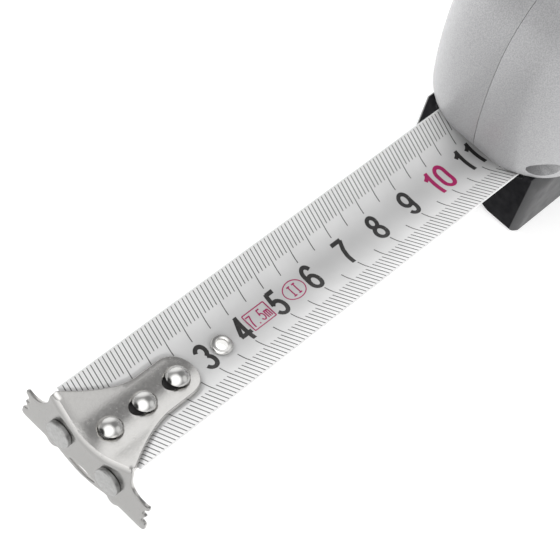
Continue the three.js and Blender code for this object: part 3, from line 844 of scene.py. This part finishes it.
def hook_outline():
    """Right half of the blank from the tip of the tongue round to the middle of the bottom edge."""
    length = PLATE_LENGTH - (BEND_START - BEND_X)
    tip = length - PLATE_TONGUE
    half = arc(tip, 0, PLATE_TONGUE, 0, 90, 14)
    half += [(s, plate_half(s)) for s in [tip * (1 - i / 18) for i in range(1, 19)]]
    wing = 16.3
    top = -0.3
    bottom = -8.1
    sag = 1.3
    edge = [(10.75, 5.0), (10.8, 4.2)]
    edge += arc(14.4, 3.1, 3.5, 180, 262, 12)
    edge += [(15.0, top - 0.1), (wing - 0.3, top + 0.15), (wing - 0.05, top), (wing, top - 0.6)]
    edge += tooth(wing, top - 0.6, top - 3.2)
    edge += tooth(wing + 0.1, top - 3.2, top - 5.5)
    edge += [(wing + 0.15, top - 5.8), (wing + 0.2, bottom + 0.8)]
    edge += [(wing - 0.1, bottom + 0.25), (wing - 0.8, bottom), (13.0, bottom - 0.02), (10.4, bottom)]
    edge += arc(8.1, bottom + 0.7, 1.6, -30, -150, 10)
    edge += [(6.2, bottom - 0.08), (5.2, bottom - 0.4), (3.6, bottom - 0.8)]
    edge += [(1.8, bottom - 1.15), (0, bottom - sag)]
    return half + [flange_blank(y, z) for y, z in refined(edge)]


def tooth(wing, top, low):
    """One claw of a wing's edge: a slope in, a short step, and out to the next point."""
    slope = [(wing - 0.75, top - 0.75), (wing - 1.25, low + 0.45)]
    return slope + [(wing - 1.05, low + 0.2), (wing - 0.3, low + 0.05)]


def make_hook():
    """The stamping, with slots that let it slide on the rivets and a nail slot low on the flange."""
    right = hook_outline()
    left = [(u, -w) for u, w in reversed(right[1:-1])]
    outline = dense(right + left, 0.9)
    offset = BEND_X - BEND_START
    holes = []
    for i in range(3):
        x = RIVET_FIRST + RIVET_PITCH * i + offset
        reach = 0.5 if i == 0 else 1.5
        holes.append(arc(x, 0, 1.9, -90, 90, 12) + arc(x - reach, 0, 1.9, 90, 270, 12))
    lens = [(-3.6, -7.85)] + arc(0, -15.3, 8.25, 116, 64, 12)
    lens += [(3.6, -7.85)] + arc(0, -0.4, 8.25, -64, -116, 12)
    holes.append([flange_blank(y, z) for y, z in lens])
    skin = plate(outline, holes, 0, SHEET, 0.16, on_hook, (0.8, 0.8))
    add_piece("hook_stamping", skin, "nickel", "end_hook", ["hook"], smooth=50)


def make_rivets():
    """Domed rivets through the blade and the hook's plate."""
    profile = [(0, -0.85), (1.7, -0.85), (2.1, -0.7), (2.1, -0.35), (1.2, -0.3), (1.2, 1.72), (2.3, 1.74)]
    sphere = (RIVET_RADIUS ** 2 + RIVET_DOME ** 2) / (2 * RIVET_DOME)
    rim = asin(RIVET_RADIUS / sphere)
    for i in range(13):
        a = rim * (1 - i / 12)
        profile.append((sphere * sin(a), RIVET_TOP - sphere * (1 - cos(a))))
    for i in range(3):
        centre = BEND_X + RIVET_FIRST + RIVET_PITCH * i
        skin = turned(profile, 48, lambda x, y, z, cx=centre: (cx + x, y, BLADE_Z + z))
        node = f"hook_rivet_{i + 1}"
        add_piece(f"rivet_{i + 1}", skin, "polished", "tape", [node])


def make_blacked_end():
    """A painted shadow: a black film on the blade, seen in the slots round the rivets, where there is only
    shade.
    """
    start = RIVET_FIRST + RIVET_PITCH - 4
    end = start + RIVET_PITCH + 5.5
    add_film("painted_slot_shade", ribbon([(start, 0), (end, 0)], 4.6), "black_ink_and_shade")


def make_magnets():
    for node in ("magnet_left", "magnet_right"):
        low, high = corners(node)
        centre = middle(node)
        radius = (high.y - low.y) / 2
        block = [(0, FLANGE_OUTER_X), (radius, FLANGE_OUTER_X), (radius, low.x), (0, low.x)]
        disc = eased(block, 0.28, 4)
        skin = turned(disc, 56, lambda y, z, x, c=centre: (x, c.y + y, c.z + z))
        add_piece(f"{node}_disc", skin, "magnet", "end_hook", [node])


# ---- case --------------------------------------------------------------------


def case_profile(fine):
    """Side profile of the case as points with their outward directions."""
    points = []

    def add(cx, cz, radius, start, end, steps):
        for i in range(steps):
            a = start + (end - start) * i / steps
            n = (cos(a), sin(a))
            points.append((cx + radius * n[0], cz + radius * n[1], *n))

    toe = asin((NOSE_Z - CASE_BOTTOM - HEEL_RADIUS) / (NOSE_RADIUS - HEEL_RADIUS))
    toe_x = NOSE_X + NOSE_RADIUS - (NOSE_RADIUS - HEEL_RADIUS) * cos(toe)
    heel_x = REAR_X - REAR_RADIUS + (REAR_RADIUS - HEEL_RADIUS) * cos(HEEL_ANGLE)
    heel_z = REAR_Z - (REAR_RADIUS - HEEL_RADIUS) * sin(HEEL_ANGLE)
    quarter = pi / 2
    top = NOSE_Z + BROW_RADIUS
    brow_x = NOSE_X + BROW_RADIUS
    shoulder_x = REAR_X - SHOULDER_RADIUS
    add(brow_x, NOSE_Z, BROW_RADIUS, pi, quarter, 5 * fine)
    for i in range(2 * fine):
        points.append((brow_x + (shoulder_x - brow_x) * i / (2 * fine), top, 0, 1))
    add(shoulder_x, REAR_Z, SHOULDER_RADIUS, quarter, 0, 5 * fine)
    add(REAR_X - REAR_RADIUS, REAR_Z, REAR_RADIUS, 0, -HEEL_ANGLE, 2 * fine)
    add(heel_x, heel_z, HEEL_RADIUS, -HEEL_ANGLE, -quarter, 3 * fine)
    for i in range(2 * fine):
        points.append((heel_x + (toe_x - heel_x) * i / (2 * fine), CASE_BOTTOM, 0, -1))
    add(toe_x, CASE_BOTTOM + HEEL_RADIUS, HEEL_RADIUS, -quarter, toe - pi, 3 * fine)
    add(NOSE_X + NOSE_RADIUS, NOSE_Z, NOSE_RADIUS, pi + toe, pi, 3 * fine)
    return points


def case_body(name, side, inset, inner_y, fine=6):
    """One half of the rounded case, inset by a wall, as a solid object."""
    outline = case_profile(fine)
    radius = CASE_EDGE - inset
    flat_y = CASE_HALF_WIDTH - CASE_EDGE
    levels = [(inner_y, inset)]
    steps = 18
    for i in range(steps + 1):
        a = i / steps * pi / 2
        levels.append((flat_y + radius * sin(a), CASE_EDGE - radius * cos(a)))
    rings = []
    for y, deep in levels:
        rings.append([(x - nx * deep, side * y, z - nz * deep) for x, z, nx, nz in outline])
    return add_piece(name, loft(rings), "silver")


def prism(name, outline, low, high, axis):
    """A prism from an outline of the other two axes, in X, Y, Z order, along an axis."""
    orders = {
        "x": lambda u, v, t: (t, u, v),
        "y": lambda u, v, t: (u, t, v),
        "z": lambda u, v, t: (u, v, t),
    }
    rings = [[orders[axis](u, v, t) for u, v in outline] for t in (low, high)]
    return add_piece(name, loft(rings), "silver")


def rod(x, z, radius, y0, y1, steps=40):
    return prism("rod", circle(x, z, radius, steps), y0, y1, "y")


def hem_line(gap):
    """The shells' hem in side view, or a line that runs below it by a gap."""
    rear = REAR_HEM - gap
    front = FRONT_HEM - gap
    return [(FAR, rear), (-12, rear), (-22, front), (-FAR, front)]


def hem_cutter():
    """What lies under the shells' hem, without the lip that dips over the mouth."""
    hem = prism("hem", [(-FAR, -10), (FAR, -10)] + hem_line(0), -30, 30, "y")
    steps = 16
    dip = [(-LIP_HALF, FRONT_HEM + 1)]
    for i in range(steps + 1):
        t = i / steps
        drop = LIP_DROP * (1 - cos(pi * t)) / 2
        dip.append((-LIP_HALF + (LIP_HALF - LIP_FLAT) * t, FRONT_HEM - drop))
    mirrored = [(-y, z) for y, z in reversed(dip)]
    lip = prism("lip", dip + mirrored, -FAR, NOSE_X + 7.2, "x")
    boolean(hem, lip)
    return hem


def lock_slot():
    """What the lock's stem sweeps out of the brow."""
    centre_x = NOSE_X + BROW_RADIUS
    start = LOCK_FROM - 3
    end = LOCK_STEM_TO + LOCK_SWING + 3
    outline = arc(centre_x, NOSE_Z, 40, start, end, 12) + arc(centre_x, NOSE_Z, 19.5, end, start, 12)
    return prism("slot", outline, -4.1, 4.1, "y")


def screw_places():
    """Axis of each case screw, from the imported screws."""
    places = []
    for i in range(1, 5):
        low, high = corners(f"case_screw_{i}")
        places.append(((low.x + high.x) / 2, (low.z + high.z) / 2))
    return places


def make_shell(side, name, node):
    shell = case_body(name, side, 0, SEAM_GAP)
    boolean(shell, case_body("inside", side, CASE_WALL, -1, 4))
    skin_y = sorted((side * SEAM_GAP, side * (CASE_HALF_WIDTH + 1)))
    for x, z in screw_places():
        boss = rod(x, z, SCREW_BOSS, *skin_y)
        boolean(boss, case_body("skin", side, 0.05, SEAM_GAP, 4), "INTERSECT")
        boolean(shell, boss, "UNION")
    for x, z in screw_places():
        boolean(shell, rod(x, z, SCREW_HOLE, -30, 9))
        if side < 0:
            boolean(shell, rod(x, z, SCREW_HEAD + 0.3, -30, SCREW_SEAT))
    boolean(shell, hem_cutter())
    boolean(shell, lock_slot())
    if side < 0:
        low, high = corners("side_inlay")
        centre = middle("side_inlay")
        pocket = rod(centre.x, centre.z, (high.x - low.x) / 2 + 0.2, -30, high.y + 0.1, 96)
        boolean(shell, pocket)
    bevel(shell, 0.3)
    settle(shell, "case", [node])


def base_plan(inset, steps):
    """Plan of the base: bevelled corners in front, round ones behind."""
    low, high = corners("base_bumper")
    half = high.y - inset
    front = low.x + inset
    rear = high.x - inset
    rr = 9.0 - inset
    bevel_x = max(2.1 - inset, 0.2)
    bevel_y = max(1.2 - inset, 0.2)
    near = [(front, bevel_y - half), (front + bevel_x, -half)]
    far = [(front + bevel_x, half), (front, half - bevel_y)]
    return (near + arc(rear - rr, -half + rr, rr, 270, 360, 2 * steps)
            + arc(rear - rr, half - rr, rr, 0, 90, 2 * steps) + far)


def blade_rise(y):
    """Height of the blade's underside over its lowest line."""
    reach = min(abs(y), FLANK_Y)
    arc_rise = ARC_RADIUS - sqrt(ARC_RADIUS ** 2 - reach ** 2)
    return arc_rise + max(abs(y) - FLANK_Y, 0) * tan(FLANK_ANGLE)


def make_base():
    """The black base: a tray with a rounded toe, two ears and the mouth between them."""
    base = prism("base_shell", base_plan(0, 8), 0, 30, "z")
    toe = corners("base_bumper")[0].x + BASE_TOE
    outline = arc(toe, BASE_TOE, BASE_TOE, 180, 270, 6) + [(toe, -10), (FAR, -10)]
    outline += hem_line(BASE_GAP) + [(-FAR, BASE_TOE)]
    boolean(base, prism("under", outline, -30, 30, "y"), "INTERSECT")
    half = corners("base_bumper")[1].y
    ears = [(-half, -1), (half, -1), (half, 14.4), (14.2, FRONT_HEM), (-14.2, FRONT_HEM), (-half, 14.4)]
    boolean(base, prism("ears", ears, -40, 40, "x"), "INTERSECT")
    boolean(base, prism("hollow", base_plan(BASE_WALL, 6), BASE_FLOOR, 31, "z"))
    mouth_half = 12.2
    steps = 36
    dip = [(-mouth_half + 2 * mouth_half * i / steps) for i in range(steps + 1)]
    mouth = [(y, BLADE_Z + blade_rise(y) - 1) for y in dip] + [(mouth_half, 31), (-mouth_half, 31)]
    boolean(base, prism("mouth", mouth, -40, -25, "x"))
    groove = [(-3, BLADE_Z - 1.4), (3, BLADE_Z - 1.4), (3, 31), (-3, 31)]
    boolean(base, prism("groove", groove, -40, -20, "x"))
    relief = [(-9.5, -1), (9.5, -1), (9.5, 0), (6, 1.8), (-6, 1.8), (-9.5, 0)]
    boolean(base, prism("relief", relief, -40, -29, "x"))
    bevel(base, 0.5)
    repaint(base, "textured", "plastic")
    for face in base.data.polygons:
        face.material_index = int(abs(face.normal.y) > 0.3)
    settle(base, "case", ["base_bumper"])


def cut_cross(screw, x, z, arms, low, high):
    """Cuts a cross recess into a screw's head."""
    for wide, tall in (arms, arms[::-1]):
        outline = [(x - wide, z - tall), (x + wide, z - tall), (x + wide, z + tall), (x - wide, z + tall)]
        boolean(screw, prism("cross", outline, low, high, "y"))
    clean_mesh(screw.data, 35)


def make_screws():
    """Pan-head case screws with a cross recess, down in their counterbores."""
    for i, (x, z) in enumerate(screw_places(), 1):
        low, high = corners(f"case_screw_{i}")
        seat = SCREW_SEAT - 0.3
        profile = [(0, high.y), (1.0, high.y - 0.3), (1.3, high.y - 1.2), (1.3, seat)]
        profile += [(SCREW_HEAD, seat), (SCREW_HEAD, seat - 0.9), (1.7, low.y + 0.15), (0, low.y)]
        profile = eased(profile, 0.2, 2)
        skin = turned(profile, 40, lambda a, b, y, cx=x, cz=z: (cx + a, y, cz + b))
        screw = add_piece(f"screw_{i}", skin, "zinc")
        cut_cross(screw, x, z, (1.35, 0.35), low.y - 1, low.y + 0.9)
        settle(screw, "case", [f"case_screw_{i}"])


def make_inlay():
    """The plain grip disc let into the side: shallow rings inside a raised rim."""
    low, high = corners("side_inlay")
    centre = middle("side_inlay")
    radius = (high.x - low.x) / 2
    profile = [(0, high.y), (radius, high.y), (radius, low.y), (radius - 1.2, low.y)]
    for i in range(6):
        ring = radius - 2.2 - 1.8 * i
        profile += [(ring, low.y + 0.35), (ring - 0.6, low.y + 0.15), (ring - 1.2, low.y + 0.15)]
    profile.append((0, low.y + 0.2))
    skin = turned(eased(profile, 0.22, 2), 96, lambda a, b, y: (centre.x + a, y, centre.z + b))
    add_piece("grip_disc", skin, "rubber", "case", ["side_inlay"])


def make_clip():
    """Belt clip: one bent strip with rounded corners and an eased edge."""
    low, high = corners("belt_clip")
    half = high.x
    thick = 1.0
    near = low.y
    far = high.y - thick
    path = [(near, high.z), (near, 48.3), (near + 0.6, 47), (far - 0.6, 44), (far, 42.6), (far, 24.6)]
    path += [(far - 0.5, 23.2), (near + 1.3, 16.2), (near + 0.9, 15), (near + 1.3, 14)]
    path.append((far - 1.1, low.z + 0.8))
    lengths = [0.0]
    for a, b in zip(path, path[1:]):
        lengths.append(lengths[-1] + dist(a, b))
    total = lengths[-1]

    def on_clip(point, height):
        x, s = point
        s = max(0.0, min(total - 1e-6, s))
        k = max(i for i in range(len(path) - 1) if lengths[i] <= s)
        t = (s - lengths[k]) / (lengths[k + 1] - lengths[k])
        along = (Vector(path[k + 1]) - Vector(path[k])).normalized()
        before = (Vector(path[k]) - Vector(path[k - 1])).normalized() if k else along
        way = before.lerp(along, min(1.0, 0.5 + t)).normalized()
        p = Vector(path[k]).lerp(Vector(path[k + 1]), t)
        return x, p.x - way.y * height, p.y + way.x * height

    top_round = 3.0
    low_round = 1.5
    outline = arc(half - top_round, total - top_round, top_round, 0, 90, 8)
    outline += arc(top_round - half, total - top_round, top_round, 90, 180, 8)
    outline += arc(low_round - half, low_round, low_round, 180, 270, 5)
    outline += arc(half - low_round, low_round, low_round, 270, 360, 5)
    screw_at = high.z - (corners("clip_screw")[0].z + corners("clip_screw")[1].z) / 2
    slot = arc(0, total * 0.55 + 8, 2.2, 0, 180, 10) + arc(0, total * 0.55 - 8, 2.2, 180, 360, 10)
    holes = [circle(0, screw_at, 1.8), dense(slot, 1.0)]
    skin = plate(dense(outline, 0.8), holes, 0, thick, 0.2, on_clip, (1.5, 0.7))
    add_piece("clip_strip", skin, "steel", "case", ["belt_clip"], smooth=50)


def make_clip_screw():
    low, high = corners("clip_screw")
    centre = middle("clip_screw")
    head = high.y - 1.2
    profile = [(0, low.y), (1.5, low.y), (1.5, head), (3, head)]
    profile += [(3, high.y - 0.55), (2.3, high.y - 0.12), (0, high.y)]
    skin = turned(eased(profile, 0.25, 3), 48, lambda a, b, y: (centre.x + a, y, centre.z + b))
    screw = add_piece("clip_fastener", skin, "zinc")
    cut_cross(screw, 0, centre.z, (1.8, 0.4), high.y - 0.7, high.y + 1)
    settle(screw, "case", ["clip_screw"])


def make_lock():
    """Thumb lock: a curved pad with grip ribs and a raised stop, on a stem through the brow."""
    centre_x = NOSE_X + BROW_RADIUS
    top = []
    count = 84
    for i in range(count + 1):
        angle = LOCK_FROM + 3 + (LOCK_TO - 4 - LOCK_FROM) * i / count
        share = i / count
        rib = 0.28 * max(0.0, cos(share * pi * 2 * 9)) if 0.05 < share < 0.8 else 0.0
        horn = 1.2 * exp(-((share - 0.93) / 0.05) ** 2)
        radius = LOCK_TOP + rib + horn
        a = radians(angle)
        top.append((centre_x + radius * cos(a), NOSE_Z + radius * sin(a)))
    under = arc(centre_x, NOSE_Z, LOCK_UNDER, LOCK_TO, LOCK_FROM, 24)
    pad = prism("lock_pad", top + under, -LOCK_HALF, LOCK_HALF, "y")
    repaint(pad, "rubber")
    bevel(pad, 0.5, angle=50)
    settle(pad, "lock", ["lock_button"])
    stem = (arc(centre_x, NOSE_Z, 28.5, LOCK_FROM + 1, LOCK_STEM_TO, 12)
            + arc(centre_x, NOSE_Z, 20.5, LOCK_STEM_TO, LOCK_FROM + 1, 12))
    post = prism("lock_stem", stem, -LOCK_STEM_HALF, LOCK_STEM_HALF, "y")
    repaint(post, "plastic")
    bevel(post, 0.2, 2)
    settle(post, "lock")


def make_coil():
    """The wound blade: a ring whose end faces show the edges of the turns."""
    low, high = corners("blade_coil")
    inner = (corners("drum")[1].x - corners("drum")[0].x) / 2 + 0.2
    outer = (high.x - low.x) / 2
    turns = 28
    pitch = (outer - inner) / turns
    face = []
    for i in range(turns):
        r = inner + pitch * i
        face += [(r + 0.04, high.y - 0.12), (r + 0.1, high.y)]
        face += [(r + pitch - 0.1, high.y), (r + pitch - 0.04, high.y - 0.12)]
    profile = face + [(r, -y) for r, y in reversed(face)]
    profile.append(profile[0])
    skin = turned(profile, 96, lambda a, b, y: (AXLE.x + a, y, AXLE.z + b))
    add_piece("blade_windings", skin, "lacquer", "spool", ["blade_coil"])


def dress_nodes():
    """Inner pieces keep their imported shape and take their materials."""
    looks = {
        "blade_guide": "nylon", "drum": "nylon", "spring_cover": "nylon", "axle_post": "steel",
        "power_spring": "blued", "lock_spring": "blued", "brake_arm": "plastic",
        "brake_pad_left": "rubber", "brake_pad_right": "rubber",
    }
    for node, look in looks.items():
        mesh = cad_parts[node].data
        mesh.materials.clear()
        mesh.materials.append(MATERIALS[look])
        shade(mesh, 35)


# ---- stage -------------------------------------------------------------------


def make_camera():
    """A long lens looking down on the hook, with the case running out of the top corner."""
    data = bpy.data.cameras.new("camera")
    camera = new_object("camera", data)
    data.lens = 129.96
    data.sensor_width = 36
    data.clip_end = 20
    position = Vector((BEND_X - 159.6, -109.74, BLADE_Z + 316.08)) * MM
    roll = radians(19.41)
    look = direction(27.88, -52.50)
    level = look.cross(Vector((0, 0, 1))).normalized()
    over = level.cross(look)
    right = level * cos(roll) + over * sin(roll)
    up = right.cross(look)
    axes = Matrix((right, up, -look)).transposed().to_4x4()
    camera.matrix_world = Matrix.Translation(position) @ axes
    bpy.context.scene.camera = camera


def add_light(name, position, target, size, power):
    """A soft box, in metres and watts, that shiny metal doesn't show."""
    data = bpy.data.lights.new(name, "AREA")
    data.shape = "RECTANGLE"
    data.size, data.size_y = size
    data.energy = power
    light = new_object(name, data)
    light.location = position
    way = Vector(target) - Vector(position)
    light.rotation_euler = way.to_track_quat("-Z", "Y").to_euler()
    light.visible_glossy = False


def direction(azimuth, elevation):
    """Unit vector towards a compass angle from +X and a height, in degrees."""
    a = radians(azimuth)
    e = radians(elevation)
    return Vector((cos(e) * cos(a), cos(e) * sin(a), sin(e)))


def add_patch(tree, base, centre, inner, outer, level):
    """Blends a soft round patch of a grey level into the studio's surroundings."""
    place = tree.nodes.new("ShaderNodeTexCoord")
    toward = tree.nodes.new("ShaderNodeVectorMath")
    toward.operation = "DOT_PRODUCT"
    toward.inputs[1].default_value = direction(*centre)
    span = tree.nodes.new("ShaderNodeMapRange")
    span.interpolation_type = "SMOOTHSTEP"
    set_inputs(span, From_Min=cos(radians(outer)), From_Max=cos(radians(inner)))
    mix = tree.nodes.new("ShaderNodeMix")
    mix.data_type = "RGBA"
    set_inputs(mix, B=(level, level, level, 1))
    tree.links.new(place.outputs["Generated"], toward.inputs[0])
    tree.links.new(toward.outputs["Value"], span.inputs["Value"])
    tree.links.new(span.outputs["Result"], mix.inputs["Factor"])
    tree.links.new(base, mix.inputs["A"])
    return mix.outputs["Result"]


def make_surroundings():
    """A grey studio whose bright and dark regions the metal reflects.

    A region is a direction, the angles where it is full and gone, and a grey level.
    """
    world = bpy.data.worlds.new("studio")
    bpy.context.scene.world = world
    world.use_nodes = True
    tree = world.node_tree
    base = tree.nodes.new("ShaderNodeRGB")
    base.outputs[0].default_value = (0.4, 0.4, 0.4, 1)
    patches = [
        ((-160, 55), 14, 55, 1.7),
        ((0, 56), 6, 30, 0.25),
        ((-50, 34), 6, 26, 0.8),
        ((158, 10), 20, 32, 0.05),
        ((58, 18), 15, 45, 1.05),
    ]
    grey = base.outputs[0]
    for centre, inner, outer, level in patches:
        grey = add_patch(tree, grey, centre, inner, outer, level)
    tree.links.new(grey, tree.nodes["Background"].inputs["Color"])


def make_stage():
    """A plain white light table between two soft boxes."""
    reach = 4000
    points = [(-reach, -reach, 0), (reach, -reach, 0), (reach, reach, 0), (-reach, reach, 0)]
    glow = {"Emission_Color": (1, 1, 1, 1), "Emission_Strength": 0.5}
    MATERIALS["floor"] = new_material("floor", (0.6, 0.6, 0.6), 0.7, **glow)
    floor = add_piece("floor", (points, [(0, 1, 2, 3)]), "floor")
    floor.location.z = CAD_BOUNDS[0].z - 0.0002
    make_surroundings()
    target = (-0.02, 0, 0.03)
    add_light("far_side", (-0.2, 0.8, 0.13), target, (0.9, 0.5), 15)
    add_light("near_side", (-0.1, -0.8, 0.13), target, (0.7, 0.4), 8)
    scene = bpy.context.scene
    scene.view_settings.view_transform = "Standard"
    scene.view_settings.look = "None"


make_camera()
make_stage()
make_blade()
make_scale()
make_numerals()
make_marks()
make_throat()
make_eyelet()
make_hook()
make_rivets()
make_blacked_end()
make_magnets()
make_shell(1, "shell_left", "case_left")
make_shell(-1, "shell_right", "case_right")
make_base()
make_screws()
make_inlay()
make_clip()
make_clip_screw()
make_lock()
make_coil()
dress_nodes()
